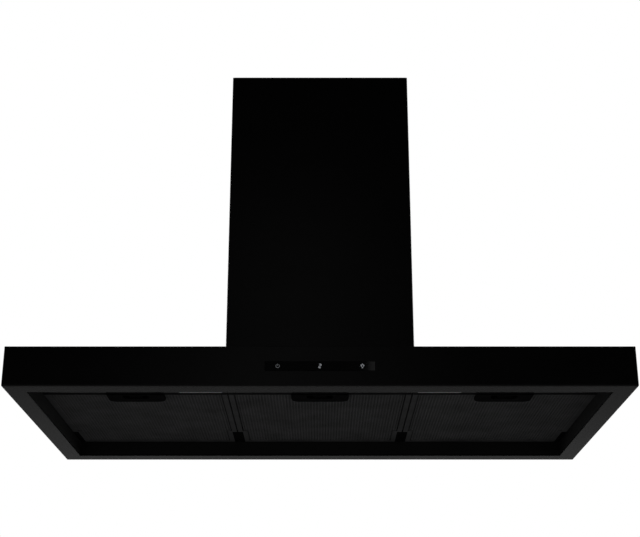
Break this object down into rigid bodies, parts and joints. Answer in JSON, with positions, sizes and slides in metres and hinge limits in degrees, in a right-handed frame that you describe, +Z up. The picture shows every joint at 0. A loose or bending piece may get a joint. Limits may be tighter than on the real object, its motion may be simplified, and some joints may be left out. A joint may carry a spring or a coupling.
{
  "type": "island range hood",
  "caption": "Black box-canopy island cooker hood with a telescopic square chimney, front touch strip, underside grease filters with latch handles, light windows and a duct collar.",
  "frame": {"origin": "centre of the ceiling plate's four bolt holes, on the face that meets the ceiling", "axes": "+Z up into the ceiling, +X along the canopy's width to the user's right, -Y towards the front face with the controls"},
  "size_m": [0.898, 0.5, 0.551],
  "materials": {
    "black_paint": "smooth satin black powder coat",
    "rim_paint": "satin black powder coat, faint orange peel",
    "filter_metal": "black anodised frame",
    "filter_mesh": "black anodised expanded mesh",
    "black_plastic": "fine moulded texture",
    "latch_plastic": "fine moulded texture",
    "black_glass": "polished black glass",
    "display_module": "black display with one lit digit",
    "light_guide": "clear light guide",
    "opal_lens": "opal diffuser",
    "white_board": "white solder mask",
    "green_board": "green solder mask",
    "white_plastic": "moulded nylon",
    "blower_plastic": "moulded dark grey polypropylene",
    "flap_plastic": "thin moulded grey plastic",
    "motor_metal": "die-cast motor can",
    "bright_steel": "ground steel shaft",
    "galvanised_steel": "zinc-coated sheet steel",
    "zinc_screws": "zinc-plated",
    "black_screws": "black-coated screws",
    "black_rubber": "matt rubber"
  },
  "bodies": {
    "ceiling_mount": {"ceiling_plate": "galvanised_steel", "upper_frame_posts": "galvanised_steel", "upper_chimney_front": "black_paint", "upper_chimney_rear": "black_paint", "upper_frame_screws": "black_screws"},
    "hood": {"lower_frame_posts": "galvanised_steel", "frame_clamp_screws": "zinc_screws", "chimney_base_ring": "galvanised_steel", "lower_chimney_front": "black_paint", "lower_chimney_rear": "black_paint", "chimney_screws": "black_screws", "canopy_shell": "black_paint", "canopy_screws": "zinc_screws", "front_fascia": "black_paint", "underside_frame": "rim_paint", "light_panel": "black_paint", "filter_dividers": "rim_paint", "rear_rail": "black_paint", "filter_keepers": "black_plastic", "led_housings": "black_plastic", "led_boards": "white_board", "led_lenses": "opal_lens", "control_glass": "black_glass", "control_housing": "black_plastic", "control_board": "green_board", "digit_display": "display_module", "touch_icons": "light_guide", "electronics_box": "galvanised_steel", "electronics_cover": "galvanised_steel", "main_board": "green_board", "terminal_block": "white_plastic", "motor_capacitor": "white_plastic", "cable_gland": "black_plastic", "volute_right": "blower_plastic", "volute_left": "blower_plastic", "inlet_rings": "blower_plastic", "motor": "motor_metal", "motor_bracket": "galvanised_steel", "blower_feet": "galvanised_steel", "rubber_grommets": "black_rubber", "outlet_transition": "blower_plastic", "outlet_collar": "blower_plastic", "damper_bar": "blower_plastic"},
    "filter_left": {"filter_frame_left": "filter_metal", "filter_mesh_left": "filter_mesh", "handle_bezel_left": "black_plastic"},
    "latch_left": {"filter_latch_left": "latch_plastic"},
    "filter_center": {"filter_frame_center": "filter_metal", "filter_mesh_center": "filter_mesh", "handle_bezel_center": "black_plastic"},
    "latch_center": {"filter_latch_center": "latch_plastic"},
    "filter_right": {"filter_frame_right": "filter_metal", "filter_mesh_right": "filter_mesh", "handle_bezel_right": "black_plastic"},
    "latch_right": {"filter_latch_right": "latch_plastic"},
    "impeller_wheel": {"impeller_plates": "blower_plastic", "impeller_blades": "blower_plastic", "motor_shaft": "bright_steel"},
    "damper_flap_front": {"damper_front": "flap_plastic"},
    "damper_flap_rear": {"damper_rear": "flap_plastic"}
  },
  "joints": [
    {"name": "height_adjust", "type": "slide", "parent": "ceiling_mount", "child": "hood", "axis": [0, 0, -1], "range_m": [0, 0.26]},
    {"name": "filter_left_swing", "type": "hinge", "parent": "hood", "child": "filter_left", "pos_m": [-0.2806, 0.2076, -0.5215], "axis": [1, 0, 0], "range_deg": [0, 65]},
    {"name": "latch_left_slide", "type": "slide", "parent": "filter_left", "child": "latch_left", "axis": [0, 1, 0], "range_m": [0, 0.006], "stiffness_N_per_m": 250, "springref_m": -0.002},
    {"name": "filter_center_swing", "type": "hinge", "parent": "hood", "child": "filter_center", "pos_m": [0, 0.2076, -0.5215], "axis": [1, 0, 0], "range_deg": [0, 65]},
    {"name": "latch_center_slide", "type": "slide", "parent": "filter_center", "child": "latch_center", "axis": [0, 1, 0], "range_m": [0, 0.006], "stiffness_N_per_m": 250, "springref_m": -0.002},
    {"name": "filter_right_swing", "type": "hinge", "parent": "hood", "child": "filter_right", "pos_m": [0.2806, 0.2076, -0.5215], "axis": [1, 0, 0], "range_deg": [0, 65]},
    {"name": "latch_right_slide", "type": "slide", "parent": "filter_right", "child": "latch_right", "axis": [0, 1, 0], "range_m": [0, 0.006], "stiffness_N_per_m": 250, "springref_m": -0.002},
    {"name": "impeller_spin", "type": "hinge", "parent": "hood", "child": "impeller_wheel", "pos_m": [0, 0.009, -0.366], "axis": [1, 0, 0], "continuous": true},
    {"name": "damper_front_swing", "type": "hinge", "parent": "hood", "child": "damper_flap_front", "pos_m": [0, -0.005, -0.19], "axis": [-1, 0, 0], "range_deg": [0, 75]},
    {"name": "damper_rear_swing", "type": "hinge", "parent": "hood", "child": "damper_flap_rear", "pos_m": [0, 0.005, -0.19], "axis": [1, 0, 0], "range_deg": [0, 75]}
  ]
}
